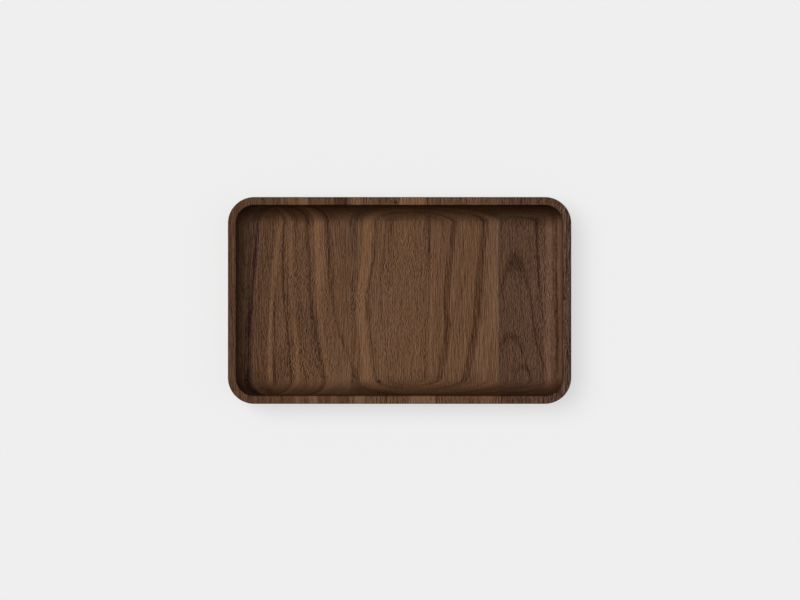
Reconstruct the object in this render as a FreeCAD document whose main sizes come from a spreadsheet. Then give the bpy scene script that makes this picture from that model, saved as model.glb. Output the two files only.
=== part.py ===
import FreeCAD, Part
import math
import os

import Sketcher

# Valet tray routed from an edge-glued walnut blank.
# Three staves stand side by side with their grain along Y. The glued blank is cut to a rounded rectangle,
# hollowed with a round-nosed cutter that leaves a cove all round, softened at its edges, and bored below
# for four seated rubber feet. +X runs along the tray, +Z is up, and the origin is the centre of the
# plane that the feet stand on. All lengths are in millimetres.

SIZES = {
    "tray_length": 254.0,
    "tray_width": 153.0,
    # The section of the tray, from the underside up and from the rim in.
    "floor_thickness": 6.4,
    "cove_radius": 12.0,
    "wall_straight": 7.0,
    "wall_thickness": 6.0,
    # Radius of the path that the middle of the cutter follows round a corner of the hollow.
    "corner_path_radius": 1.5,
    "rim_softening": 0.6,
    "base_softening": 1.5,
    # The two outer staves. The middle one takes up the rest of the length.
    "left_stave_width": 90.0,
    "right_stave_width": 52.6,
    "glue_thickness": 0.1,
    # What is left on the rough staves to be trimmed away after gluing.
    "trim_allowance": 4.0,
    "foot_diameter": 12.0,
    "foot_height": 3.4,
    "foot_seat_depth": 1.8,
    "foot_seat_clearance": 0.2,
    "foot_edge_radius": 0.8,
    # From an edge of the tray in to the middle of a foot.
    "foot_inset": 24.0,
}

# Sizes that follow from the sheet, as expressions.
BODY_HEIGHT = "(sizes.floor_thickness + sizes.cove_radius + sizes.wall_straight)"
HOLLOW_DEPTH = "(sizes.cove_radius + sizes.wall_straight)"
HOLLOW_LENGTH = "(sizes.tray_length - 2 * sizes.wall_thickness)"
HOLLOW_WIDTH = "(sizes.tray_width - 2 * sizes.wall_thickness)"
HOLLOW_CORNER = "(sizes.cove_radius + sizes.corner_path_radius)"
OUTER_CORNER = f"({HOLLOW_CORNER} + sizes.wall_thickness)"
STAND_HEIGHT = "(sizes.foot_height - sizes.foot_seat_depth)"
FOOT_RADIUS = "(sizes.foot_diameter / 2)"
FOOT_SEAT_RADIUS = f"({FOOT_RADIUS} + sizes.foot_seat_clearance)"
FOOT_X = "(sizes.tray_length / 2 - sizes.foot_inset)"
FOOT_Y = "(sizes.tray_width / 2 - sizes.foot_inset)"

# Where each piece of the blank starts along X, and how wide it is there.
LEFT_END = "-sizes.tray_length / 2"
RIGHT_END = "sizes.tray_length / 2"
LEFT_JOINT = f"({LEFT_END} + sizes.left_stave_width)"
RIGHT_JOINT = f"({RIGHT_END} - sizes.right_stave_width - sizes.glue_thickness)"
MIDDLE_START = f"({LEFT_JOINT} + sizes.glue_thickness)"
SLICES = {
    "left_stave": (f"{LEFT_END} - sizes.trim_allowance", "sizes.left_stave_width + sizes.trim_allowance"),
    "left_glue_line": (LEFT_JOINT, "sizes.glue_thickness"),
    "middle_stave": (MIDDLE_START, f"{RIGHT_JOINT} - {MIDDLE_START}"),
    "right_glue_line": (RIGHT_JOINT, "sizes.glue_thickness"),
    "right_stave": (
        f"{RIGHT_END} - sizes.right_stave_width",
        "sizes.right_stave_width + sizes.trim_allowance",
    ),
}

# The side of the tray that each foot stands on, along X and along Y.
FEET = {
    "front_left_foot": (-1, -1),
    "front_right_foot": (1, -1),
    "back_left_foot": (-1, 1),
    "back_right_foot": (1, 1),
}

# Two edges are taken to lie on one level within this share of the body's height.
LEVEL_SHARE = 1e-6

# How a sketch numbers the points of an edge, and the axis whose start is its origin.
START, END, CENTRE = 1, 2, 3
AXIS_GEOMETRY = -1


def make_sheet(doc):
    """The spreadsheet of driving dimensions, one aliased cell each beside its name."""
    sheet = doc.addObject("Spreadsheet::Sheet", "sizes")
    for row, (alias, value) in enumerate(SIZES.items(), start=1):
        sheet.set(f"A{row}", alias)
        sheet.set(f"B{row}", str(value))
        sheet.setAlias(f"B{row}", alias)
    doc.recompute()
    return sheet


def value_of(sheet, expression):
    """The number that an expression over the sheet has now."""
    result = sheet.evalExpression(expression)
    return float(getattr(result, "Value", result))


def bind(item, expressions):
    """Binds each named property of an object to its expression over the sheet."""
    for name, expression in expressions.items():
        item.setExpression(name, expression)


def add_sketch(body, name, plane):
    """An empty sketch on one of the body's own origin planes."""
    sketch = body.newObject("Sketcher::SketchObject", name)
    support = next(f for f in body.Origin.OriginFeatures if f.Role == plane)
    sketch.AttachmentSupport = [(support, "")]
    sketch.MapMode = "FlatFace"
    return sketch


def add_dimension(sketch, name, expression, *constraint):
    """A named driving dimension of a sketch, bound to its expression."""
    index = sketch.addConstraint(Sketcher.Constraint(*constraint))
    sketch.renameConstraint(index, name)
    sketch.setExpression(f"Constraints.{name}", expression)


def add_line(sketch, start, end):
    """A straight edge between two points of a sketch."""
    return sketch.addGeometry(Part.LineSegment(FreeCAD.Vector(*start, 0), FreeCAD.Vector(*end, 0)))


def add_arc(sketch, centre, radius, quarter):
    """A quarter of a circle, counterclockwise, whose number says which quadrant it fills."""
    circle = Part.Circle(FreeCAD.Vector(*centre, 0), FreeCAD.Vector(0, 0, 1), radius)
    end_angle = quarter * math.pi / 2
    return sketch.addGeometry(Part.ArcOfCircle(circle, end_angle - math.pi / 2, end_angle))


def draw_rounded_rectangle(sheet, sketch, length, width, radius):
    """A rectangle with four equal round corners, centred on the sketch's origin."""
    corner = value_of(sheet, radius)
    reach_x = value_of(sheet, length) / 2
    reach_y = value_of(sheet, width) / 2
    inner_x = reach_x - corner
    inner_y = reach_y - corner
    front = add_line(sketch, (-inner_x, -reach_y), (inner_x, -reach_y))
    front_right = add_arc(sketch, (inner_x, -inner_y), corner, 4)
    right = add_line(sketch, (reach_x, -inner_y), (reach_x, inner_y))
    back_right = add_arc(sketch, (inner_x, inner_y), corner, 1)
    back = add_line(sketch, (inner_x, reach_y), (-inner_x, reach_y))
    back_left = add_arc(sketch, (-inner_x, inner_y), corner, 2)
    left = add_line(sketch, (-reach_x, inner_y), (-reach_x, -inner_y))
    front_left = add_arc(sketch, (-inner_x, -inner_y), corner, 3)
    loop = (front, front_right, right, back_right, back, back_left, left, front_left)
    for this, following in zip(loop, loop[1:] + loop[:1]):
        sketch.addConstraint(Sketcher.Constraint("Tangent", this, END, following, START))
    for edge in (front, back):
        sketch.addConstraint(Sketcher.Constraint("Horizontal", edge))
    for edge in (right, left):
        sketch.addConstraint(Sketcher.Constraint("Vertical", edge))
    for arc in (back_right, back_left, front_left):
        sketch.addConstraint(Sketcher.Constraint("Equal", front_right, arc))
    middle = ("Symmetric", front_left, CENTRE, back_right, CENTRE, AXIS_GEOMETRY, START)
    sketch.addConstraint(Sketcher.Constraint(*middle))
    across = ("DistanceX", left, START, right, START, 2 * reach_x)
    add_dimension(sketch, "length", length, *across)
    along = ("DistanceY", front, START, back, START, 2 * reach_y)
    add_dimension(sketch, "width", width, *along)
    add_dimension(sketch, "corner", radius, "Radius", front_right, corner)


def edges_on_level(shape, level, tolerance):
    """The names of the edges whose ends all lie on one horizontal level."""
    return [
        f"Edge{number}"
        for number, edge in enumerate(shape.Edges, start=1)
        if all(abs(vertex.Z - level) < tolerance for vertex in edge.Vertexes)
    ]


def round_edges(doc, sheet, body, name, level, radius):
    """Rounds every edge of the body's last feature that lies on a level above the underside."""
    doc.recompute()
    base = body.Tip
    tolerance = value_of(sheet, BODY_HEIGHT) * LEVEL_SHARE
    edges = edges_on_level(base.Shape, level, tolerance)
    fillet = body.newObject("PartDesign::Fillet", name)
    fillet.Base = (base, edges)
    bind(fillet, {"Radius": radius})


def make_blank(doc, sheet):
    """The whole tray as routed from the glued blank, before it is told apart into staves."""
    body = doc.addObject("PartDesign::Body", "tray_blank")
    outline = add_sketch(body, "outline", "XY_Plane")
    draw_rounded_rectangle(sheet, outline, "sizes.tray_length", "sizes.tray_width", OUTER_CORNER)
    slab = body.newObject("PartDesign::Pad", "slab")
    slab.Profile = outline
    bind(slab, {"Length": BODY_HEIGHT})

    mouth = add_sketch(body, "mouth", "XY_Plane")
    bind(mouth, {"AttachmentOffset.Base.z": BODY_HEIGHT})
    draw_rounded_rectangle(sheet, mouth, HOLLOW_LENGTH, HOLLOW_WIDTH, HOLLOW_CORNER)
    hollow = body.newObject("PartDesign::Pocket", "hollow")
    hollow.Profile = mouth
    bind(hollow, {"Length": HOLLOW_DEPTH})

    floor_level = value_of(sheet, "sizes.floor_thickness")
    rim_level = value_of(sheet, BODY_HEIGHT)
    round_edges(doc, sheet, body, "cove", floor_level, "sizes.cove_radius")
    round_edges(doc, sheet, body, "soft_rim", rim_level, "sizes.rim_softening")
    round_edges(doc, sheet, body, "soft_base", 0, "sizes.base_softening")

    seat_outlines = add_sketch(body, "seat_outlines", "XY_Plane")
    draw_foot_seats(sheet, seat_outlines)
    seats = body.newObject("PartDesign::Pocket", "foot_seats")
    seats.Profile = seat_outlines
    seats.Reversed = True
    bind(seats, {"Length": "sizes.foot_seat_depth"})
    bind(body, {"Placement.Base.z": STAND_HEIGHT})
    doc.recompute()
    return body


def draw_foot_seats(sheet, sketch):
    """One circle for each foot, a clearance wider than the foot, at the same inset from both edges."""
    radius = value_of(sheet, FOOT_SEAT_RADIUS)
    for name, (across, along) in FEET.items():
        x = across * value_of(sheet, FOOT_X)
        y = along * value_of(sheet, FOOT_Y)
        circle = Part.Circle(FreeCAD.Vector(x, y, 0), FreeCAD.Vector(0, 0, 1), radius)
        seat = sketch.addGeometry(circle)
        from_middle = (AXIS_GEOMETRY, START, seat, CENTRE)
        add_dimension(sketch, f"{name}_x", f"{across} * {FOOT_X}", "DistanceX", *from_middle, x)
        add_dimension(sketch, f"{name}_y", f"{along} * {FOOT_Y}", "DistanceY", *from_middle, y)
        add_dimension(sketch, f"{name}_radius", FOOT_SEAT_RADIUS, "Radius", seat, radius)


def make_slice(doc, blank, label, start, width):
    """One stave or glue line: what the routed tray keeps of that piece's rough stock."""
    stock = doc.addObject("Part::Box", f"{label}_stock")
    bind(stock, {
        "Length": width,
        "Width": "sizes.tray_width + 2 * sizes.trim_allowance",
        "Height": f"{BODY_HEIGHT} + 2 * sizes.trim_allowance",
        "Placement.Base.x": start,
        "Placement.Base.y": "-sizes.tray_width / 2 - sizes.trim_allowance",
        "Placement.Base.z": f"{STAND_HEIGHT} - sizes.trim_allowance",
    })
    piece = doc.addObject("Part::Common", label)
    piece.Base = blank
    piece.Tool = stock
    return piece


def make_foot(doc, sheet, label, across, along):
    """A low rubber foot turned about its own axis, flat where it stands and eased round that edge."""
    body = doc.addObject("PartDesign::Body", label)
    profile = add_sketch(body, f"{label}_profile", "XZ_Plane")
    draw_foot_profile(sheet, profile)
    turned = body.newObject("PartDesign::Revolution", f"{label}_turned")
    turned.Profile = profile
    turned.ReferenceAxis = (profile, ["V_Axis"])
    bind(body, {"Placement.Base.x": f"{across} * {FOOT_X}", "Placement.Base.y": f"{along} * {FOOT_Y}"})
    return body


def draw_foot_profile(sheet, sketch):
    """Half of the foot's section: its axis, its flat sole, the eased edge, its side and its top."""
    radius = value_of(sheet, FOOT_RADIUS)
    ease = value_of(sheet, "sizes.foot_edge_radius")
    height = value_of(sheet, "sizes.foot_height")
    sole = add_line(sketch, (0, 0), (radius - ease, 0))
    edge = add_arc(sketch, (radius - ease, ease), ease, 4)
    side = add_line(sketch, (radius, ease), (radius, height))
    top = add_line(sketch, (radius, height), (0, height))
    axis = add_line(sketch, (0, height), (0, 0))
    for this, following in ((sole, edge), (edge, side)):
        sketch.addConstraint(Sketcher.Constraint("Tangent", this, END, following, START))
    for this, following in ((side, top), (top, axis), (axis, sole)):
        sketch.addConstraint(Sketcher.Constraint("Coincident", this, END, following, START))
    sketch.addConstraint(Sketcher.Constraint("Coincident", sole, START, AXIS_GEOMETRY, START))
    for level in (sole, top):
        sketch.addConstraint(Sketcher.Constraint("Horizontal", level))
    for upright in (side, axis):
        sketch.addConstraint(Sketcher.Constraint("Vertical", upright))
    add_dimension(sketch, "radius", FOOT_RADIUS, "DistanceX", top, END, top, START, radius)
    add_dimension(sketch, "height", "sizes.foot_height", "DistanceY", axis, END, axis, START, height)
    add_dimension(sketch, "ease", "sizes.foot_edge_radius", "Radius", edge, ease)


def check_document(doc, pieces):
    """Stops the build if an object failed, a cut removed nothing, or a piece isn't a valid solid."""
    for item in doc.Objects:
        if {"Invalid", "Error"} & set(item.State):
            raise RuntimeError(f"{item.Label} failed to recompute: {item.State}")
        is_cut = item.TypeId == "PartDesign::Pocket"
        if is_cut and item.Shape.Volume >= item.BaseFeature.Shape.Volume:
            raise RuntimeError(f"{item.Label} removes nothing")
    for piece in pieces:
        if piece.Shape.isNull() or not piece.Shape.isValid() or not piece.Shape.Solids:
            raise RuntimeError(f"{piece.Label} isn't a valid solid")


def report_volumes(blank, slices):
    """Prints how much each stave and glue line holds, and what the blank has that they don't."""
    for piece in slices:
        print(f"{piece.Label}: {len(piece.Shape.Solids)} solid, {piece.Shape.Volume:.2f} mm3")
    missing = blank.Shape.Volume - sum(piece.Shape.Volume for piece in slices)
    print(f"blank: {blank.Shape.Volume:.2f} mm3, not in a stave or glue line: {missing:.4f} mm3")


def build():
    """Builds the document and writes one STEP file for each piece of the tray."""
    doc = FreeCAD.newDocument("valet_tray")
    sheet = make_sheet(doc)
    blank = make_blank(doc, sheet)
    slices = [make_slice(doc, blank, label, *span) for label, span in SLICES.items()]
    feet = [make_foot(doc, sheet, label, *side) for label, side in FEET.items()]
    doc.recompute()
    check_document(doc, slices + feet)
    report_volumes(blank, slices)
    os.makedirs("parts", exist_ok=True)
    for piece in slices + feet:
        piece.Shape.exportStep(f"parts/{piece.Label}.step")


build()
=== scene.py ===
import math

import bmesh
import bpy
import numpy as np
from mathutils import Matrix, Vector


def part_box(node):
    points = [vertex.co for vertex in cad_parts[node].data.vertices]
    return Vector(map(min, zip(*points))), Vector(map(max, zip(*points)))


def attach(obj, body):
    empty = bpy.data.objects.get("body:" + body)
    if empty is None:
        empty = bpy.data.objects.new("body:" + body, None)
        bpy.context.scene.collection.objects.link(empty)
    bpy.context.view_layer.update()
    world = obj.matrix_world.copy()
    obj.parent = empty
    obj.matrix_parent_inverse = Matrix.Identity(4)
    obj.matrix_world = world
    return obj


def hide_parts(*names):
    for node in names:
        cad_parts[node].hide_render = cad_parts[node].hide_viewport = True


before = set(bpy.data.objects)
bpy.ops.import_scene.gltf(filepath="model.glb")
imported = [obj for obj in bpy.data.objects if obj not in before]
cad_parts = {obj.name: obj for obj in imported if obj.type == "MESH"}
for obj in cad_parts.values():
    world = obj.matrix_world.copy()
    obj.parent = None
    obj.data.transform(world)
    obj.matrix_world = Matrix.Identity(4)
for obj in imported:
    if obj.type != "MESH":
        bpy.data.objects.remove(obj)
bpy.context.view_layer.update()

# Left stave
# The left third of the tray, a flat-sawn walnut board with its grain along Y. It is edge-glued to the next
# stave, and the glued blank is then routed, sanded and oiled as one.
wall_thickness = 0.006
cove_radius = 0.012
corner_radius = 0.0195
floor_thickness = 0.0064
rim_softening = 0.0006
base_softening = 0.0015
foot_seat_depth = 0.0018
foot_seat_clearance = 0.0002

# Narrow flat strips beside the cove and the softened edges keep the shading of the flat faces flat.
cove_margin = cove_radius / 8
edge_margin = rim_softening / 2
cove_steps = 40
softening_steps = 8
corner_steps = 40
side_steps = 24
foot_turn_steps = 96
sharp_angle = math.radians(40)
same_place = rim_softening / 1000

stave_low, stave_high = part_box("left_stave")
half_length = -stave_low.x
half_width = stave_high.y
base_level = stave_low.z
rim_level = stave_high.z
floor_level = base_level + floor_thickness


def quarter_turn(steps):
    """Angles from zero to a right angle, evenly spaced."""
    return np.linspace(0, math.pi / 2, steps + 1)


def tray_section():
    """The wall's section as inset from the outer face and height: along the floor to the foot of the cove, a
    quarter circle up to the wall, a quarter circle over each rim edge, and another under the base edge."""
    cove = quarter_turn(cove_steps)
    soft = quarter_turn(softening_steps)
    cove_centre = wall_thickness + cove_radius
    pieces = [
        [(cove_centre + cove_margin, floor_level)],
        np.stack([
            cove_centre - cove_radius * np.sin(cove),
            floor_level + cove_radius * (1 - np.cos(cove)),
        ], 1),
        [(wall_thickness, rim_level - rim_softening - edge_margin)],
        np.stack([
            wall_thickness - rim_softening * (1 - np.cos(soft)),
            rim_level - rim_softening * (1 - np.sin(soft)),
        ], 1),
        [(wall_thickness - rim_softening - edge_margin, rim_level), (rim_softening + edge_margin, rim_level)],
        np.stack([
            rim_softening * (1 - np.sin(soft)),
            rim_level - rim_softening * (1 - np.cos(soft)),
        ], 1),
        [(0, rim_level - rim_softening - edge_margin), (0, base_level + base_softening + edge_margin)],
        np.stack([
            base_softening * (1 - np.cos(soft)),
            base_level + base_softening * (1 - np.sin(soft)),
        ], 1),
        [(base_softening + edge_margin, base_level)],
    ]
    return np.concatenate(pieces)


def tray_path():
    """A rounded rectangle as the middle of its corner arc and the outward direction there: each corner turns
    a right angle about its own middle, and each side runs straight from one corner's middle to the next."""
    reach_x = half_length - corner_radius
    reach_y = half_width - corner_radius
    corners = np.array([(reach_x, reach_y), (-reach_x, reach_y), (-reach_x, -reach_y), (reach_x, -reach_y)])
    along_side = np.linspace(0, 1, side_steps, endpoint=False)[1:, None]
    middles = []
    directions = []
    for number, corner in enumerate(corners):
        turn = quarter_turn(corner_steps) + number * math.pi / 2
        following = corners[(number + 1) % len(corners)]
        outward = np.stack([np.cos(turn), np.sin(turn)], 1)
        middles += [np.repeat(corner[None], len(turn), 0), corner + along_side * (following - corner)]
        directions += [outward, np.repeat(outward[-1:], len(along_side), 0)]
    return np.concatenate(middles), np.concatenate(directions)


def ring_faces(points):
    """Four-sided faces between neighbours on a grid of points whose rows close on themselves."""
    index = np.arange(points.shape[0] * points.shape[1]).reshape(points.shape[:2])
    beside = np.roll(index, -1, axis=1)
    quads = np.stack([index[:-1], index[1:], beside[1:], beside[:-1]], -1)
    return points.reshape(-1, 3), quads.reshape(-1, 4)


def routed_blank():
    """The whole tray's surface: the section carried round the path, with each point set back from the outer
    face by its inset, and the floor and the underside closed on the line midway between the long sides."""
    section = tray_section()
    middles, directions = tray_path()
    reach = (corner_radius - section[:, 0])[:, None, None]
    wall = np.empty((len(section), len(middles), 3))
    wall[:, :, :2] = middles + reach * directions
    wall[:, :, 2] = section[:, 1][:, None]
    spine_reach = half_length - half_width
    spine = np.zeros((1, len(middles), 3))
    spine[0, :, 0] = np.clip(middles[:, 0], -spine_reach, spine_reach)
    floor_spine = spine + (0, 0, floor_level)
    base_spine = spine + (0, 0, base_level)
    return ring_faces(np.concatenate([floor_spine, wall, base_spine]))


def surface_from(points, faces):
    """A surface from its points and faces, with coinciding points merged so that it closes on itself."""
    mesh = bpy.data.meshes.new("surface")
    mesh.from_pydata(points.tolist(), [], faces.tolist())
    surface = bmesh.new()
    surface.from_mesh(mesh)
    bpy.data.meshes.remove(mesh)
    bmesh.ops.remove_doubles(surface, verts=surface.verts, dist=same_place)
    return surface


def new_piece(name, surface):
    """An object for a finished surface, smooth but for its sharp edges, with its faces outwards."""
    bmesh.ops.recalc_face_normals(surface, faces=surface.faces)
    mesh = bpy.data.meshes.new(name)
    surface.to_mesh(mesh)
    surface.free()
    mesh.shade_smooth()
    mesh.set_sharp_from_angle(angle=sharp_angle)
    piece = bpy.data.objects.new(name, mesh)
    bpy.context.collection.objects.link(piece)
    return piece


def slice_of_blank(name, low_x, high_x):
    """The part of the routed blank between two upright planes across X, with a flat face on each cut."""
    surface = surface_from(*routed_blank())
    for level, outward in ((low_x, -1), (high_x, 1)):
        if abs(level) < half_length - same_place:
            everything = surface.verts[:] + surface.edges[:] + surface.faces[:]
            cut = bmesh.ops.bisect_plane(
                surface, geom=everything, plane_co=(level, 0, 0), plane_no=(outward, 0, 0), clear_outer=True)
            edges = [item for item in cut["geom_cut"] if isinstance(item, bmesh.types.BMEdge)]
            bmesh.ops.edgeloop_fill(surface, edges=edges)
    return new_piece(name, surface)


def turned_profile(radius, profile):
    """A round piece's surface: a profile of radius share and height, turned in a full circle about Z."""
    turn = np.linspace(0, 2 * math.pi, foot_turn_steps, endpoint=False)
    profile = np.asarray(profile)
    across = radius * profile[:, 0][:, None]
    height = np.repeat(profile[:, 1][:, None], len(turn), 1)
    return ring_faces(np.stack([across * np.cos(turn), across * np.sin(turn), height], -1))


def bore_foot_seats(piece, feet):
    """Cuts a flat-bottomed round seat into the underside for each foot, a clearance wider than the foot."""
    for foot in feet:
        low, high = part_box(foot)
        radius = (high.x - low.x) / 2 + foot_seat_clearance
        seat_top = base_level + foot_seat_depth
        points, quads = turned_profile(radius, [(0, low.z), (1, low.z), (1, seat_top), (0, seat_top)])
        points += ((low.x + high.x) / 2, (low.y + high.y) / 2, 0)
        cutter = new_piece(f"{foot}_cutter", surface_from(points, quads))
        bore = piece.modifiers.new("seat", "BOOLEAN")
        bore.object = cutter
        bore.solver = "EXACT"
        bored = bpy.data.meshes.new_from_object(piece.evaluated_get(bpy.context.evaluated_depsgraph_get()))
        piece.modifiers.clear()
        piece.data = bored
        piece.data.materials.clear()
        piece.data.set_sharp_from_angle(angle=sharp_angle)
        bpy.data.objects.remove(cutter)


left_stave = slice_of_blank("walnut_left_stave", stave_low.x, stave_high.x)
bore_foot_seats(left_stave, ("front_left_foot", "back_left_foot"))


def add_node(tree, kind, *inputs, **settings):
    """One node with its settings. Each input is a number, a vector or another node's output."""
    made = tree.nodes.new(kind)
    for setting, value in settings.items():
        setattr(made, setting, value)
    for socket, value in zip(made.inputs, inputs):
        if isinstance(value, bpy.types.NodeSocket):
            tree.links.new(value, socket)
        else:
            socket.default_value = value
    return made


def calculate(tree, operation, *values):
    """One step of arithmetic on numbers and outputs."""
    return add_node(tree, "ShaderNodeMath", *values, operation=operation).outputs["Value"]


def calculate_vector(tree, operation, *values):
    """One step of arithmetic on vectors that gives a vector."""
    return add_node(tree, "ShaderNodeVectorMath", *values, operation=operation).outputs["Vector"]


def scaled_sum(tree, start, *terms):
    """A start value plus each term's output times its weight."""
    total = start
    for output, weight in terms:
        total = calculate(tree, "MULTIPLY_ADD", output, weight, total)
    return total


def ease(tree, value, start, end):
    """A smooth rise from zero to one as a value goes from its start to its end."""
    rise = add_node(tree, "ShaderNodeMapRange", value, start, end, interpolation_type="SMOOTHSTEP")
    return rise.outputs["Result"]


# Materials work in millimetres.
millimetres = 1000


def new_material(name):
    """A material with its node tree, its shader and the place in millimetres on the object."""
    material = bpy.data.materials.new(name)
    material.use_nodes = True
    tree = material.node_tree
    coordinates = add_node(tree, "ShaderNodeTexCoord")
    place = add_node(tree, "ShaderNodeVectorMath", coordinates.outputs["Object"], operation="SCALE")
    place.inputs["Scale"].default_value = millimetres
    return material, tree, tree.nodes["Principled BSDF"], place.outputs["Vector"]


def shade_ramp(tree, value, shades):
    """The colour for a value between zero and one, blended between shades at their positions."""
    ramp = add_node(tree, "ShaderNodeValToRGB", value)
    stops = ramp.color_ramp.elements
    for number, (position, shade) in enumerate(shades):
        stop = stops[0] if number == 0 else stops.new(position)
        stop.position = position
        stop.color = (*shade, 1)
    stops.remove(stops[-1])
    return ramp.outputs["Color"]


# The noise texture lies about this value. A fibre step is about the width of one visible fibre.
noise_middle = 0.5
fibre_step = (0.74, 0, 0)
fibre_contrast = -0.5


def noise(tree, place, cell, detail=0.0):
    """Noise about zero, whose cells have the given size along each axis."""
    texture = add_node(tree, "ShaderNodeTexNoise")
    tree.links.new(calculate_vector(tree, "DIVIDE", place, cell), texture.inputs["Vector"])
    texture.inputs["Scale"].default_value = 1.0
    texture.inputs["Detail"].default_value = detail
    return calculate(tree, "SUBTRACT", texture.outputs["Fac"], noise_middle)


def fibre_noise(tree, place, cell, detail=0.0):
    """Noise in which a pale fibre tends to have a dark one beside it: noise less half of itself a fibre step
    across."""
    here = noise(tree, place, cell, detail)
    beside = noise(tree, calculate_vector(tree, "ADD", place, fibre_step), cell, detail)
    return scaled_sum(tree, here, (beside, fibre_contrast))


# A growth line is given by its place across the stave at each of these places along Y.
grain_stations = (-58.0, -29.0, 0.0, 29.0, 58.0)
middle_station = len(grain_stations) // 2


def straight(place):
    """The places of a line that runs straight along Y."""
    return (place,) * len(grain_stations)


def line_path(tree, along, places):
    """A growth line's place across the stave: a smooth curve through its places at the stations along Y."""
    path = add_node(tree, "ShaderNodeFloatCurve")
    curve = path.mapping.curves[0]
    path.mapping.use_clip = False
    for number, station in enumerate(zip(grain_stations, places)):
        if number < len(curve.points):
            curve.points[number].location = station
        else:
            curve.points.new(*station)
    path.mapping.update()
    tree.links.new(along, path.inputs["Value"])
    return path.outputs["Value"]


def grain_lines(tree, across, along, lines):
    """The tone and the warmth that growth lines and stripes add: each is full from its path over its width,
    and eases to nothing within its reach on either side. One with a fade eases away along Y, from its first
    place, where it is gone, to its second."""
    tone = 0.0
    warmth = 0.0
    for line in lines:
        beyond = calculate(tree, "SUBTRACT", across, line_path(tree, along, line["x"]))
        before, after = line["reach"]
        width = line.get("width", 0)
        rise = ease(tree, beyond, -before, 0)
        shape = calculate(tree, "MULTIPLY", rise, ease(tree, beyond, width + after, width))
        if "fade" in line:
            shape = calculate(tree, "MULTIPLY", shape, ease(tree, along, *line["fade"]))
        tone = scaled_sum(tree, tone, (shape, line["tone"]))
        if "warm" in line:
            warmth = scaled_sum(tree, warmth, (shape, line["warm"]))
    return tone, warmth


# Growth lines waver slowly and quickly. Over the heart line, the rings of its two sides blend, and the guard
# keeps a ring's distance above zero there.
slow_waver_cell = (22, 34, 22)
slow_waver_reach = 1.5
quick_waver_cell = (4, 7, 4)
quick_waver_reach = 1.0
heart_guard = 0.1
heart_blend = 0.6


def wavering(tree, place, across):
    """The place across the stave, moved to and fro by a slow noise and a quick one."""
    slow = noise(tree, place, slow_waver_cell, detail=1.0)
    quick = noise(tree, place, quick_waver_cell, detail=1.0)
    return scaled_sum(tree, across, (slow, slow_waver_reach), (quick, quick_waver_reach))


def ring_distance(tree, beside_heart, height, ring):
    """The level of the growth ring through a place, and how far from the heart line that ring lies on the
    floor. Rings bend over the heart line: one is (distance / flat) ^ bend below its top there."""
    flat, bend = ring
    away = calculate(tree, "DIVIDE", calculate(tree, "ABSOLUTE", beside_heart), flat)
    ring_level = calculate(tree, "ADD", calculate(tree, "POWER", away, bend), height)
    share = calculate(tree, "POWER", calculate(tree, "MAXIMUM", ring_level, 0.0), 1 / bend)
    return ring_level, calculate(tree, "MULTIPLY", share, flat)


def heart_sides(tree, beside_heart, height, left_ring, right_ring):
    """The level of the growth ring through a place, the side of the heart line that the place is on, and for
    the left and the right how far from the heart line that ring lies on the floor, with that side's share.
    The side goes from -1 to 1 on the floor, and is the place's distance over that of its ring."""
    left_level, left_distance = ring_distance(tree, beside_heart, height, left_ring)
    right_level, right_distance = ring_distance(tree, beside_heart, height, right_ring)
    distance = scaled_sum(tree, heart_guard, (left_distance, 0.5), (right_distance, 0.5))
    side = calculate(tree, "DIVIDE", beside_heart, distance)
    right_share = ease(tree, side, -heart_blend, heart_blend)
    left_share = calculate(tree, "SUBTRACT", 1.0, right_share)
    ring_level = calculate(tree, "MULTIPLY", left_level, left_share)
    ring_level = scaled_sum(tree, ring_level, (right_level, right_share))
    return ring_level, side, (left_distance, left_share), (right_distance, right_share)


# Where rings close in arches, they dip along Y by this share of the way. A smudge is a bell across its arch.
arch_dip = 0.066
smudge_width = 7.5
smudge_reach = (16.0, 13.0)


def arch_lines(tree, across, along, height, arches):
    """The tone of rings that close in arches, because the board's rings also dip along Y. An arch on the
    floor has a flat tip and straight arms: its place along Y plus slope * ((beside^4 + tip^4)^(1/4) - tip) is
    that of its apex, which moves on by height over the dip. A broader smudge darkens an arch near its
    apex."""
    tone = 0.0
    for arch in arches:
        beside = calculate(tree, "SUBTRACT", across, arch["x"])
        square = calculate(tree, "MULTIPLY", beside, beside)
        arm = calculate(tree, "MULTIPLY_ADD", square, square, arch["tip"] ** 4)
        arm = calculate(tree, "POWER", arm, 1 / 4)
        start = -arch["slope"] * arch["tip"] - arch["apex"]
        beyond = scaled_sum(tree, start, (arm, arch["slope"]), (along, 1.0), (height, 1 / arch_dip))
        near_apex = calculate(tree, "EXPONENT", calculate(tree, "DIVIDE", square, -2 * smudge_width ** 2))
        smudge = calculate(tree, "MULTIPLY", near_apex, arch["smudge"])
        for (inside, outside), weight in ((arch["reach"], arch["tone"]), (smudge_reach, smudge)):
            rise = ease(tree, beyond, -inside, 0)
            shape = calculate(tree, "MULTIPLY", rise, ease(tree, beyond, outside, 0))
            tone = scaled_sum(tree, tone, (shape, weight))
    return tone


# Finer rings, streaks and slow patches, with the gains that they have on end grain and on the rim.
fine_ring_cell = (1.3, 1, 0.6)
fine_ring_stretch = 0.03
fine_ring_gain = 0.1
fine_ring_end_gain = 0.3
streak_cell = (2.2, 70, 2.2)
streak_gain = 0.13
streak_rim_gain = 0.35
patch_cell = (16, 60, 16)
patch_gain = 0.12
patch_saturation = 0.1


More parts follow.
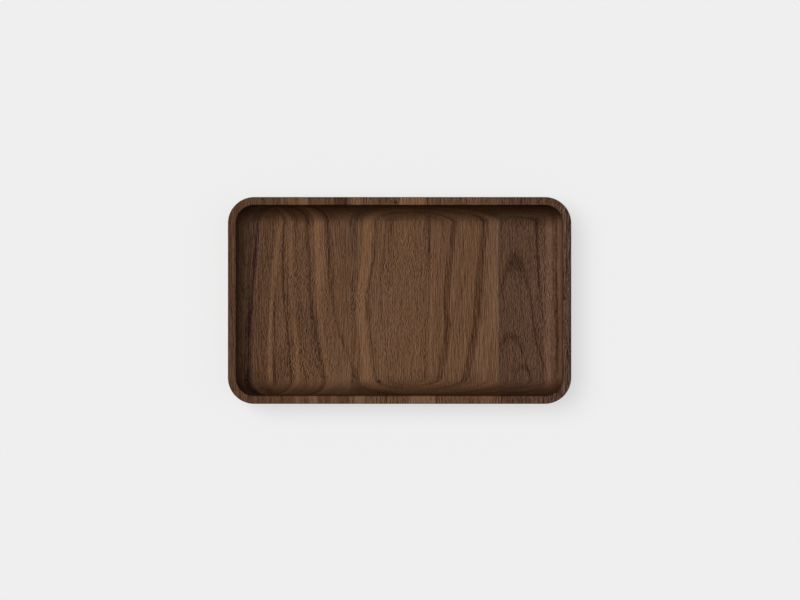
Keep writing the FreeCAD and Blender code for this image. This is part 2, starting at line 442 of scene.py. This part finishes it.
def fine_rings(tree, tone, ring_level, along, side, end_grain):
    """A tone with finer rings added: noise over the ring's level, stretched along Y and stronger on end
    grain."""
    stretched = calculate(tree, "MULTIPLY", along, fine_ring_stretch)
    ring_place = add_node(tree, "ShaderNodeCombineXYZ", ring_level, stretched, side).outputs["Vector"]
    rings = noise(tree, ring_place, fine_ring_cell, detail=2.0)
    gain = scaled_sum(tree, fine_ring_gain, (end_grain, fine_ring_end_gain))
    return scaled_sum(tree, tone, (rings, gain))


# The grain rolls out of the face a little everywhere, and more in ovals with an uneven border.
# Some ovals give the floor a darker tone along the feet of the coves and in the inner corners: that is
# painted shade, where the walls shade the floor.
least_roll = 0.25
roll_border_cell = (9, 12, 9)
roll_border_gain = 1.6
roll_border_outside = 1.2
roll_border_inside = 0.3


def rolled_grain_and_painted_shade(tree, place, rolls):
    """How far the grain rolls out of the face, from zero to one, and the tone that goes with it, which in the
    ovals along the coves' feet and in the inner corners is painted shade: each roll is an oval, full inside
    its border, with noise added to the distance from its middle."""
    uneven = noise(tree, place, roll_border_cell, detail=1.0)
    share = least_roll
    tone = 0.0
    for roll in rolls:
        middle = (*roll["at"], floor_level * millimetres)
        reach = (*roll["reach"], max(roll["reach"]))
        away = calculate_vector(tree, "DIVIDE", calculate_vector(tree, "SUBTRACT", place, middle), reach)
        away = add_node(tree, "ShaderNodeVectorMath", away, operation="LENGTH").outputs["Value"]
        away = scaled_sum(tree, away, (uneven, roll_border_gain))
        oval = ease(tree, away, roll_border_outside, roll_border_inside)
        share = calculate(tree, "MAXIMUM", share, calculate(tree, "MULTIPLY", oval, roll["share"]))
        tone = scaled_sum(tree, tone, (oval, roll["tone"]))
    return share, tone


# Fibres and pores run along Y and calm down on end grain, where they are cut across.
fibre_cell = (0.6, 12, 0.6)
dash_cell = (0.6, 2.4, 0.6)
fibre_lift = 0.02
fibre_end_gain = -0.7
pore_cell = (0.4, 5, 0.4)
pore_start = 0.08
pore_full = 0.26
pore_gain = -0.1
pore_relief = 0.00004


def fibres_and_pores(tree, place, rolled, fibre_gain):
    """The tone of fibres and pores, the fibres on their own, and the depth of the pores. Fibres break into
    dashes by the share that the grain rolls out of the face."""
    fibres = fibre_noise(tree, place, fibre_cell, detail=1.0)
    dashes = fibre_noise(tree, place, dash_cell)
    pore_depth = ease(tree, noise(tree, place, pore_cell), pore_start, pore_full)
    tone = calculate(tree, "MULTIPLY", fibres, calculate(tree, "SUBTRACT", 1.0, rolled))
    tone = scaled_sum(tree, tone, (dashes, rolled))
    tone = scaled_sum(tree, fibre_lift, (tone, fibre_gain), (pore_depth, pore_gain))
    return tone, fibres, pore_depth


# The rim's own lines take over between these heights above the floor. A pin knot eases in from edge to core.
rim_start = 11
rim_full = 17
rim_saturation = -0.02
knot_edge = 1.6
knot_core = 0.6
knot_gain = -0.5

# Shades of oiled walnut from the dark edge of a ring to the palest stripe, over the tone from 0 to 1.
walnut_shades = (
    (0.0, (0.0194, 0.0041, 0.0011)),
    (0.25, (0.0732, 0.0310, 0.0117)),
    (0.5, (0.129, 0.0625, 0.0302)),
    (0.75, (0.183, 0.0953, 0.0500)),
    (0.99, (0.236, 0.124, 0.0664)),
)
walnut_gloss = 0.1
walnut_roughness = 0.6
pore_roughness = 0.15
fibre_roughness = 0.15

# End grain takes more oil, so the wood darkens and reddens as a face turns towards the ends of its fibres.
end_grain_shade = (0.57, 0.53, 0.53)
end_grain_turn = 0.7


def walnut(
    name, tint, base_tone, rim_tone, fibre_gain, rim_fibres, end_softening, heart_x, left_ring, right_ring,
    lines, rim_lines, rolls, stripes=(), arches=(), pin_knots=(),
):
    """Oiled walnut as a solid, with one tone that picks the shade. Growth lines are given on the floor, and a
    place off the floor takes the tone of the floor place on its ring. Stripes keep their place at any height.
    Growth lines soften on end grain, and stripes are lost there. Towards the rim its own lines take over, and
    its upward face has stronger streaks and its own share of fibres."""
    material, tree, shader, place = new_material(name)
    across, along, level = add_node(tree, "ShaderNodeSeparateXYZ", place).outputs
    height = calculate(tree, "SUBTRACT", level, floor_level * millimetres)
    normal = add_node(tree, "ShaderNodeTexCoord").outputs["Normal"]
    facing = add_node(tree, "ShaderNodeSeparateXYZ", normal).outputs
    end_grain = calculate(tree, "DIVIDE", calculate(tree, "ABSOLUTE", facing["Y"]), end_grain_turn)
    end_grain = calculate(tree, "MINIMUM", end_grain, 1.0)
    side_grain = calculate(tree, "SUBTRACT", 1.0, end_grain)
    near_rim = ease(tree, height, rim_start, rim_full)
    on_rim = calculate(tree, "MULTIPLY", near_rim, calculate(tree, "MAXIMUM", facing["Z"], 0.0))

    # Growth lines on either side of the heart line, arches and stripes.
    wavered = wavering(tree, place, across)
    beside_heart = calculate(tree, "SUBTRACT", wavered, heart_x)
    ring_level, side, left_half, right_half = heart_sides(tree, beside_heart, height, left_ring, right_ring)
    left_distance, left_share = left_half
    right_distance, right_share = right_half
    left_place = calculate(tree, "SUBTRACT", heart_x, left_distance)
    right_place = calculate(tree, "ADD", heart_x, right_distance)
    before_heart = [line for line in lines if line["x"][middle_station] < heart_x]
    past_heart = [line for line in lines if line["x"][middle_station] >= heart_x]
    left_tone, left_warmth = grain_lines(tree, left_place, along, before_heart)
    right_tone, right_warmth = grain_lines(tree, right_place, along, past_heart)
    stripe_tone, stripe_warmth = grain_lines(tree, wavered, along, stripes)
    arch_tone = arch_lines(tree, wavered, along, height, arches)
    floor_tone = scaled_sum(tree, arch_tone, (right_tone, right_share), (left_tone, left_share))
    floor_tone = calculate(tree, "MULTIPLY", floor_tone, scaled_sum(tree, 1.0, (end_grain, -end_softening)))
    floor_tone = scaled_sum(tree, floor_tone, (stripe_tone, side_grain))
    warmth = scaled_sum(tree, stripe_warmth, (left_warmth, left_share), (right_warmth, right_share))

    # The rim's own lines.
    top_tone, top_warmth = grain_lines(tree, wavered, along, rim_lines)
    top_tone = calculate(tree, "ADD", top_tone, rim_tone)
    warmth = scaled_sum(tree, warmth, (calculate(tree, "SUBTRACT", top_warmth, warmth), near_rim))
    change = calculate(tree, "SUBTRACT", top_tone, floor_tone)
    tone = scaled_sum(tree, calculate(tree, "ADD", floor_tone, base_tone), (change, near_rim))

    # Finer rings and streaks, slow patches, rolled grain and painted shade, fibres, pores and pin knots.
    tone = fine_rings(tree, tone, ring_level, along, side, end_grain)
    streaks = noise(tree, place, streak_cell, detail=1.0)
    tone = scaled_sum(tree, tone, (streaks, scaled_sum(tree, streak_gain, (on_rim, streak_rim_gain))))
    patches = noise(tree, place, patch_cell, detail=2.0)
    tone = scaled_sum(tree, tone, (patches, patch_gain))
    rolled, rolled_tone_and_painted_shade = rolled_grain_and_painted_shade(tree, place, rolls)
    tone = calculate(tree, "ADD", tone, rolled_tone_and_painted_shade)
    fibre_tone, fibres, pore_depth = fibres_and_pores(tree, place, rolled, fibre_gain)
    fibre_share = scaled_sum(tree, 1.0, (end_grain, fibre_end_gain), (on_rim, rim_fibres))
    tone = scaled_sum(tree, tone, (fibre_tone, fibre_share))
    for knot in pin_knots:
        away = add_node(tree, "ShaderNodeVectorMath", place, knot, operation="DISTANCE").outputs["Value"]
        tone = scaled_sum(tree, tone, (ease(tree, away, knot_edge, knot_core), knot_gain))

    # The shade for the tone, warmed, and darkened on end grain.
    tinted_shades = [(position, np.multiply(shade, tint)) for position, shade in walnut_shades]
    warmed = add_node(tree, "ShaderNodeHueSaturation")
    tree.links.new(shade_ramp(tree, tone, tinted_shades), warmed.inputs["Color"])
    saturation = scaled_sum(
        tree, 1.0, (warmth, 1.0), (patches, patch_saturation), (near_rim, rim_saturation))
    tree.links.new(saturation, warmed.inputs["Saturation"])
    end_grain_loss = np.subtract(end_grain_shade, 1)
    oil = calculate_vector(tree, "MULTIPLY_ADD", end_grain, end_grain_loss, (1, 1, 1))
    oiled = calculate_vector(tree, "MULTIPLY", warmed.outputs["Color"], oil)
    tree.links.new(oiled, shader.inputs["Base Color"])

    # Pores and fibres scatter the light, and pores are slightly sunk.
    roughness = scaled_sum(tree, walnut_roughness, (pore_depth, pore_roughness), (fibres, fibre_roughness))
    tree.links.new(roughness, shader.inputs["Roughness"])
    shader.inputs["Specular IOR Level"].default_value = walnut_gloss
    relief = add_node(tree, "ShaderNodeBump", invert=True)
    relief.inputs["Distance"].default_value = pore_relief
    tree.links.new(pore_depth, relief.inputs["Height"])
    tree.links.new(relief.outputs["Normal"], shader.inputs["Normal"])
    return material


# Paths that more than one line follows have names.
left_edge_zone = (-119.2, -118.1, -116.3, -114, -111.6)
left_merged_line = (-80.8, -83.2, -86.6, -87.2, -86.6)
left_pale_band = (-55, -59, -61.8, -62.9, -63.4)
left_lines = (
    {"x": straight(-150), "width": 38, "reach": (1, 6), "tone": 0.0, "warm": -0.08},
    {"x": (-112.8, -112, -110.4, -108, -105.5), "reach": (8, 2), "tone": -0.06},
    {"x": left_edge_zone, "width": 6, "reach": (2.5, 0.9), "tone": -0.1, "warm": -0.03},
    {"x": left_edge_zone, "width": 6, "reach": (2.5, 0.9), "tone": -0.08, "fade": (10, -25)},
    {"x": (-115.8, -114.1, -111.9, -109.2, -106.8), "width": 0.6, "reach": (1.6, 0.9), "tone": -0.16,
     "fade": (80, 15)},
    {"x": (-104, -104, -104, -102, -99), "reach": (6, 6), "tone": -0.1},
    {"x": (-101, -100.6, -99.8, -98.2, -94.8), "width": 1.6, "reach": (1.5, 0.8), "tone": -0.07},
    {"x": (-94, -94.5, -95, -94, -92), "width": 4, "reach": (2, 4), "tone": -0.21, "fade": (40, -10)},
    {"x": left_merged_line, "reach": (2, 0.7), "tone": -0.16},
    {"x": left_merged_line, "reach": (2, 0.7), "tone": -0.12, "fade": (60, 25)},
    {"x": (-78.2, -79.4, -82, -83.2, -83.6), "width": 2, "reach": (0.8, 2), "tone": 0.14, "warm": 0.013},
    {"x": (-71, -75.5, -76, -78, -77.5), "reach": (1, 2), "tone": -0.1},
    {"x": (-56.3, -61.4, -65.7, -67, -67.9), "reach": (5, 0.9), "tone": -0.2},
    {"x": left_pale_band, "width": 5.3, "reach": (1.2, 2.2), "tone": 0.2, "warm": 0.04, "fade": (-20, 30)},
    {"x": left_pale_band, "width": 1.5, "reach": (1.2, 2), "tone": 0.1, "warm": 0.03},
    {"x": (-53, -57, -60, -62, -64), "width": 28, "reach": (2, 4), "tone": 0.1, "fade": (-5, -55)},
    {"x": (-31, -44, -51, -53.6, -54.8), "reach": (0.8, 4), "tone": -0.14},
    {"x": (-50, -51, -52.4, -53.4, -53.8), "width": 0.6, "reach": (0.7, 0.8), "tone": -0.12,
     "fade": (10, 35)},
)
left_stripes = (
    {"x": (-98.2, -98, -97, -94.6, -90.6), "width": 2.2, "reach": (0.7, 1.5), "tone": 0.21, "warm": 0.04},
)
left_rim_lines = (
    {"x": straight(-128), "width": 8, "reach": (1, 6), "tone": -0.04},
    {"x": straight(-87), "reach": (1.5, 1.5), "tone": 0.2, "fade": (0, 30)},
    {"x": (-78, -79, -80, -81, -82), "width": 4, "reach": (1, 2), "tone": 0.14},
    {"x": (-67, -68.5, -70, -71.5, -73), "width": 5, "reach": (2, 2), "tone": 0.28, "warm": 0.025},
    {"x": (-51, -53, -56, -59, -61), "width": 3, "reach": (1, 2), "tone": 0.14},
    {"x": straight(-47), "width": 8, "reach": (2, 1), "tone": -0.18, "fade": (0, 40)},
)
left_rolls_and_painted_shade = (
    {"at": (-80, 0), "reach": (60, 110), "share": 0.55, "tone": 0.0},
    {"at": (-70, -45), "reach": (26, 20), "share": 1.0, "tone": -0.04},
    {"at": (-75, 16), "reach": (13, 16), "share": 0.8, "tone": 0.0},
    {"at": (-66, 45), "reach": (14, 18), "share": 0.5, "tone": 0.0},
    {"at": (-72, -16), "reach": (13, 18), "share": 0.5, "tone": -0.06},
    {"at": (-91, -50), "reach": (8, 16), "share": 0.4, "tone": -0.1},
    # Painted shade: the next two ovals darken the inner corners, and the one after darkens the back cove's
    # foot.
    {"at": (-115, -62), "reach": (10, 14), "share": 0.2, "tone": -0.12},
    {"at": (-112, 60), "reach": (10, 11), "share": 0.2, "tone": -0.07},
    {"at": (-72, 61), "reach": (38, 6), "share": 0.3, "tone": -0.08},
    {"at": (-65, -67), "reach": (34, 9), "share": 0.3, "tone": 0.06},
    # Painted shade along the front cove's foot.
    {"at": (-100, -61), "reach": (14, 8), "share": 0.3, "tone": -0.07},
    {"at": (-82, 4), "reach": (6, 26), "share": 0.5, "tone": -0.07},
    {"at": (-112, 32), "reach": (5, 12), "share": 0.3, "tone": -0.08},
)
left_stave.data.materials.append(walnut(
    "oiled_walnut_left", tint=(1, 1, 1), base_tone=0.385, rim_tone=-0.085, fibre_gain=1.35, rim_fibres=-0.1,
    end_softening=0.1, heart_x=-93.0, left_ring=(1.35, 1.0), right_ring=(1.35, 1.0),
    lines=left_lines, rim_lines=left_rim_lines, rolls=left_rolls_and_painted_shade, stripes=left_stripes))
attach(left_stave, "root")
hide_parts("left_stave")

# Middle stave
# The widest board, flat-sawn walnut and the lightest of the three, glued between the other two.
# Two pin knots show in it, one in the back rim and one at the foot of the front cove.
stave_low, stave_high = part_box("middle_stave")
middle_stave = slice_of_blank("walnut_middle_stave", stave_low.x, stave_high.x)
inner_band = (28.6, 33.8, 33.9, 36, 39.6)
outer_band = (48.2, 53.8, 57.6, 59.5, 62.6)
middle_lines = (
    {"x": straight(-38), "width": 4.6, "reach": (1, 2.8), "tone": -0.15, "warm": -0.08, "fade": (-12, 15)},
    {"x": straight(-35), "width": 3.5, "reach": (2, 2.5), "tone": -0.17, "fade": (-42, -62)},
    {"x": (-26.5, -30, -32.2, -28.2, -26.8), "width": 5.4, "reach": (1.2, 1.2), "tone": 0.18, "warm": 0.05},
    {"x": (-18.8, -21.8, -24.8, -20.2, -18.2), "reach": (0.8, 2.5), "tone": -0.16},
    {"x": (-8.3, -10.8, -14, -12, -10.2), "reach": (1.5, 1), "tone": -0.1},
    {"x": straight(20), "reach": (6, 1.5), "tone": -0.1, "fade": (0, -30)},
    {"x": (22.5, 23.7, 24.6, 26.5, 28.5), "reach": (2, 2), "tone": 0.13, "fade": (45, -30)},
    {"x": inner_band, "width": 3.4, "reach": (1.8, 1.2), "tone": -0.06},
    {"x": inner_band, "width": 3.4, "reach": (1.8, 1.2), "tone": -0.08, "fade": (-60, -38)},
    {"x": inner_band, "width": 3.4, "reach": (1.8, 1.2), "tone": -0.08, "fade": (60, 25)},
    {"x": (31, 35.5, 36, 38, 39.6), "width": 0.8, "reach": (0.8, 0.8), "tone": -0.12, "fade": (25, 50)},
    {"x": (33, 38, 38, 41.5, 43), "width": 3, "reach": (1, 5), "tone": 0.04},
    {"x": outer_band, "width": 3.5, "reach": (2, 1.4), "tone": -0.06},
    {"x": outer_band, "width": 3.5, "reach": (2, 1.4), "tone": -0.07, "fade": (-60, -38)},
    {"x": outer_band, "width": 3.5, "reach": (2, 1.4), "tone": -0.06, "fade": (60, 25)},
    {"x": (48.2, 54.4, 59.6, 61.4, 64.6), "reach": (1, 1), "tone": -0.06, "fade": (50, 20)},
    {"x": (50, 55.4, 58.6, 60.8, 62.7), "width": 0.8, "reach": (0.8, 0.8), "tone": -0.14, "fade": (20, 48)},
    {"x": (58.5, 61, 67.5, 69, 68.5), "width": 7, "reach": (2, 2), "tone": 0.1},
    {"x": straight(70), "width": 5, "reach": (3, 2), "tone": 0.08, "fade": (25, -20)},
    {"x": straight(76), "width": 40, "reach": (1, 2), "tone": -0.14},
)
middle_stripes = (
    {"x": (-8, -8, -8, -8, -7.5), "width": 2, "reach": (2, 3), "tone": -0.1, "fade": (15, 40)},
    {"x": straight(4), "reach": (2, 2), "tone": 0.1, "fade": (15, 45)},
    {"x": (22, 22, 22, 22.4, 22.7), "reach": (5, 1.5), "tone": -0.22, "fade": (10, 45)},
)
middle_rim_lines = (
    {"x": (-32, -32, -33, -34, -35), "width": 6, "reach": (1.5, 1.5), "tone": 0.22, "warm": 0.025},
    {"x": (-10, -11, -12, -13, -14), "reach": (2.5, 2), "tone": -0.14},
    {"x": (8, 6, 4, 2, 1), "width": 16, "reach": (2, 3), "tone": 0.26, "warm": 0.013},
    {"x": straight(28), "reach": (2.5, 1), "tone": -0.2},
    {"x": (60, 58, 56, 54, 52), "width": 7, "reach": (2, 2), "tone": 0.1},
)
middle_rolls_and_painted_shade = (
    {"at": (-30, 5), "reach": (14, 15), "share": 0.9, "tone": 0.0},
    {"at": (-37, -5), "reach": (5, 24), "share": 0.9, "tone": -0.1},
    {"at": (-36, -52), "reach": (9, 22), "share": 0.6, "tone": -0.06},
    {"at": (-19, -67), "reach": (20, 7), "share": 0.3, "tone": -0.08},
    {"at": (-12, -25), "reach": (11, 38), "share": 0.6, "tone": 0.05},
    {"at": (5, 28), "reach": (32, 44), "share": 0.65, "tone": 0.0},
    {"at": (5, -20), "reach": (34, 60), "share": 0.55, "tone": 0.0},
    # Painted shade: these five ovals darken the floor along the feet of the back and front coves.
    {"at": (24, 60), "reach": (68, 7), "share": 0.3, "tone": -0.06},
    {"at": (66, 61), "reach": (11, 7), "share": 0.3, "tone": -0.07},
    {"at": (-33, 61), "reach": (8, 7), "share": 0.3, "tone": -0.07},
    {"at": (53, -58), "reach": (9, 9), "share": 0.3, "tone": -0.06},
    {"at": (28, -60), "reach": (66, 6), "share": 0.3, "tone": -0.06},
)
middle_pin_knots = ((-2.9, 72.7, 27.0), (-15.5, -60.8, 8.2))
middle_stave.data.materials.append(walnut(
    "oiled_walnut_middle", tint=(1, 1, 1), base_tone=0.43, rim_tone=-0.08, fibre_gain=1.45, rim_fibres=0.4,
    end_softening=0.45, heart_x=10.5, left_ring=(19.6, 2.6), right_ring=(12.9, 1.3),
    lines=middle_lines, rim_lines=middle_rim_lines, rolls=middle_rolls_and_painted_shade, stripes=middle_stripes,
    pin_knots=middle_pin_knots))
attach(middle_stave, "root")
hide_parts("middle_stave")

# Right stave
# The narrowest board, flat-sawn from darker and redder walnut close to the heart, so that its rings close in
# arches. It is glued to the middle stave along one edge, and its underside is bored for two feet.
stave_low, stave_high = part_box("right_stave")
right_stave = slice_of_blank("walnut_right_stave", stave_low.x, stave_high.x)
bore_foot_seats(right_stave, ("front_right_foot", "back_right_foot"))
arch_arm = (115.3, 109.9, 106.1, 103.4, 102.1)
right_lines = (
    {"x": arch_arm, "reach": (1, 0.7), "tone": -0.2, "fade": (-40, 50)},
    {"x": (112, 102.2, 98.4, 96.5, 95), "width": 0.6, "reach": (1.3, 0.8), "tone": -0.19, "fade": (12, -10)},
    {"x": arch_arm, "width": 4, "reach": (1, 5), "tone": -0.15, "fade": (-80, 20)},
)
right_stripes = (
    {"x": (109.8, 108.8, 107.2, 105.6, 104.6), "width": 3.2, "reach": (1.2, 1.4), "tone": 0.25, "warm": 0.03,
     "fade": (85, 15)},
    {"x": (113, 112.6, 111, 110.2, 110), "width": 3.4, "reach": (1.4, 1.2), "tone": 0.22, "warm": 0.04,
     "fade": (-70, 10)},
    {"x": (117.8, 117.6, 117.4, 117.4, 117.4), "reach": (0.9, 0.7), "tone": -0.1},
    {"x": (120, 119.6, 119, 118.4, 118.2), "width": 5, "reach": (1.2, 2), "tone": 0.32, "warm": 0.08},
)
right_arches = (
    {"x": 86.5, "apex": 29.0, "slope": 4.7, "tip": 6.5, "reach": (9, 9), "tone": -0.05, "smudge": -0.18},
    {"x": 83.2, "apex": -27.5, "slope": 4.0, "tip": 7.2, "reach": (5, 5), "tone": -0.14, "smudge": -0.03},
    {"x": 92.3, "apex": -50.0, "slope": 7.0, "tip": 6.0, "reach": (4, 4), "tone": -0.15, "smudge": 0.0},
)
right_rim_lines = (
    {"x": straight(120), "width": 2.5, "reach": (1.5, 0.8), "tone": 0.08},
    {"x": straight(120), "width": 8, "reach": (1, 1), "tone": -0.02, "warm": -0.045},
    {"x": straight(123.3), "reach": (1.1, 1), "tone": -0.28, "fade": (0, 20)},
    {"x": straight(126), "width": 3, "reach": (0.7, 1), "tone": -0.14},
    {"x": straight(98), "reach": (3, 3), "tone": 0.08},
)
right_rolls_and_painted_shade = (
    {"at": (98, 0), "reach": (50, 110), "share": 0.55, "tone": 0.0},
    {"at": (85, -20), "reach": (12, 40), "share": 0.6, "tone": 0.0},
    {"at": (103, -38), "reach": (14, 24), "share": 0.7, "tone": 0.0},
    {"at": (108, 10), "reach": (8, 70), "share": 0.9, "tone": 0.0},
    {"at": (85, -54), "reach": (16, 11), "share": 0.5, "tone": -0.04},
    # Painted shade: these two ovals darken the back cove's foot and its inner corner.
    {"at": (90, 59), "reach": (18, 5), "share": 0.3, "tone": -0.1},
    {"at": (113, 61), "reach": (9, 7), "share": 0.5, "tone": -0.1},
    {"at": (99, 3), "reach": (6, 26), "share": 0.5, "tone": 0.08},
)
right_stave.data.materials.append(walnut(
    "oiled_walnut_right", tint=(0.97, 1.01, 1.2), base_tone=0.305, rim_tone=-0.075, fibre_gain=1.15,
    rim_fibres=0.9, end_softening=0.35, heart_x=86.0, left_ring=(21.2, 2.0), right_ring=(21.2, 2.0),
    lines=right_lines, rim_lines=right_rim_lines, rolls=right_rolls_and_painted_shade, stripes=right_stripes,
    arches=right_arches))
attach(right_stave, "root")
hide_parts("right_stave")

# Glue lines
# The cured film of wood glue in each edge joint, dark amber, between two staves over the tray's whole width.
# It is pressed thin as the staves are clamped, and routed flush with the wood on both sides of it.
glue_shades = ((0.0, (0.034, 0.017, 0.010)), (0.99, (0.066, 0.034, 0.018)))
glue_patch_cell = (2.0, 7.0, 3.0)
glue_patch_range = 0.25
glue_roughness = 0.42
soaked_roughness = 0.2
glue, tree, shader, place = new_material("cured_glue")
glue_patches = noise(tree, place, glue_patch_cell, detail=2.0)
soaked = ease(tree, glue_patches, -glue_patch_range, glue_patch_range)
tree.links.new(shade_ramp(tree, soaked, glue_shades), shader.inputs["Base Color"])
tree.links.new(scaled_sum(tree, glue_roughness, (soaked, soaked_roughness)), shader.inputs["Roughness"])
for node in ("left_glue_line", "right_glue_line"):
    film_low, film_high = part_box(node)
    film = slice_of_blank(f"film_{node}", film_low.x, film_high.x)
    film.data.materials.append(glue)
    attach(film, "root")
    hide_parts(node)

# Feet
# Four low round feet moulded in black rubber, with a rounded lower edge, one near each corner.
# Each is glued into a shallow seat bored in the underside.
foot_edge_radius = 0.0008
rubber_shades = ((0.0, (0.014, 0.014, 0.015)), (0.99, (0.030, 0.030, 0.031)))
dust_cell = (2.5, 2.5, 2.5)
dust_range = 0.25
speckle_cell = (0.25, 0.25, 0.25)
rubber_grain = 0.00003
rubber_roughness = 0.66
dust_roughness = 0.12
rubber, tree, shader, place = new_material("black_rubber")
dust = ease(tree, noise(tree, place, dust_cell, detail=3.0), -dust_range, dust_range)
speckle = noise(tree, place, speckle_cell, detail=1.0)
tree.links.new(shade_ramp(tree, dust, rubber_shades), shader.inputs["Base Color"])
tree.links.new(scaled_sum(tree, rubber_roughness, (dust, dust_roughness)), shader.inputs["Roughness"])
relief = add_node(tree, "ShaderNodeBump")
relief.inputs["Distance"].default_value = rubber_grain
tree.links.new(speckle, relief.inputs["Height"])
tree.links.new(relief.outputs["Normal"], shader.inputs["Normal"])
for node in ("front_left_foot", "front_right_foot", "back_left_foot", "back_right_foot"):
    foot_low, foot_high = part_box(node)
    radius = (foot_high.x - foot_low.x) / 2
    turn = quarter_turn(softening_steps)
    edge_share = foot_edge_radius / radius
    edge = np.stack([1 - edge_share * (1 - np.sin(turn)), foot_edge_radius * (1 - np.cos(turn))], 1)
    profile = np.concatenate([[(0, 0)], edge, [(1, foot_high.z), (0, foot_high.z)]])
    points, quads = turned_profile(radius, profile)
    points += ((foot_low.x + foot_high.x) / 2, (foot_low.y + foot_high.y) / 2, 0)
    foot = new_piece(f"rubber_{node}", surface_from(points, quads))
    foot.data.materials.append(rubber)
    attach(foot, "root")
    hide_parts(node)

# Table, light and camera
# A pale table top below the tray, one large soft light from the back left, weaker light from overhead, from
# the right and all round, and a camera straight above. Together the lights bring a white table to white.
table_reach = 4.0
pale = 0.863
pale_colour = (pale, pale, pale, 1)

# In the picture the table is in part evenly pale, whatever falls on it, which keeps the shadows soft.
flat_share = 0.68
table_points = np.array([(-1, -1, 0), (1, -1, 0), (1, 1, 0), (-1, 1, 0)]) * table_reach
table = new_piece("table_top", surface_from(table_points, np.array([(0, 1, 2, 3)])))
table_finish = bpy.data.materials.new("pale_table")
table_finish.use_nodes = True
tree = table_finish.node_tree
tree.nodes.clear()
path = add_node(tree, "ShaderNodeLightPath")
seen = calculate(tree, "MAXIMUM", path.outputs["Is Camera Ray"], path.outputs["Is Glossy Ray"])
seen = calculate(tree, "MAXIMUM", seen, path.outputs["Is Transmission Ray"])
seen = calculate(tree, "MULTIPLY", seen, flat_share)
lit = add_node(tree, "ShaderNodeBsdfDiffuse", pale_colour).outputs["BSDF"]
flat = add_node(tree, "ShaderNodeEmission", pale_colour, 1.0).outputs["Emission"]
mixed = add_node(tree, "ShaderNodeMixShader", seen, lit, flat).outputs["Shader"]
add_node(tree, "ShaderNodeOutputMaterial", mixed)
table.data.materials.append(table_finish)

sky_share = 0.1
overhead_share = 0.13
key_share = 0.69
fill_share = 0.08
world = bpy.data.worlds.new("studio")
bpy.context.scene.world = world
world.use_nodes = True
tree = world.node_tree
background = tree.nodes["Background"]
path = add_node(tree, "ShaderNodeLightPath")
strength = scaled_sum(tree, sky_share, (path.outputs["Is Camera Ray"], pale - sky_share))
tree.links.new(strength, background.inputs["Strength"])
background.inputs["Color"].default_value = (1, 1, 1, 1)


def add_soft_light(name, azimuth, elevation, spread, share):
    """A distant soft light from a compass direction (0 is +Y, 90 is +X) and height, with its angular width
    and its share of the light on the table."""
    around = math.radians(azimuth)
    up = math.radians(elevation)
    lamp = bpy.data.lights.new(name, "SUN")
    lamp.energy = share * math.pi / math.sin(up)
    lamp.angle = math.radians(spread)
    light = bpy.data.objects.new(name, lamp)
    bpy.context.collection.objects.link(light)
    towards = Vector((math.sin(around) * math.cos(up), math.cos(around) * math.cos(up), math.sin(up)))
    light.rotation_euler = towards.to_track_quat("Z", "Y").to_euler()


add_soft_light("overhead_box", azimuth=0, elevation=90, spread=60, share=overhead_share)
add_soft_light("back_left_box", azimuth=-63, elevation=62, spread=46, share=key_share)
add_soft_light("right_card", azimuth=90, elevation=52, spread=40, share=fill_share)

# The camera stands this high above the rim, and its lens gives the tray its width in the photo, in pixels.
photo_width = 800
photo_middle = (400, 300)
tray_width_in_photo = 343.5
tray_middle_in_photo = (399.57, 300.45)
photo_scale = 2 * half_length / tray_width_in_photo
camera_height = 1.2
sensor_width = 36.0
view_reach = 20
lens_data = bpy.data.cameras.new("photo_camera")
camera = bpy.data.objects.new("photo_camera", lens_data)
bpy.context.collection.objects.link(camera)
lens_data.sensor_width = sensor_width
lens_data.lens = sensor_width * camera_height / (photo_width * photo_scale)
lens_data.clip_end = view_reach
camera.location = (
    (photo_middle[0] - tray_middle_in_photo[0]) * photo_scale,
    (tray_middle_in_photo[1] - photo_middle[1]) * photo_scale,
    rim_level + camera_height,
)
bpy.context.scene.camera = camera
bpy.context.scene.view_settings.view_transform = "Standard"
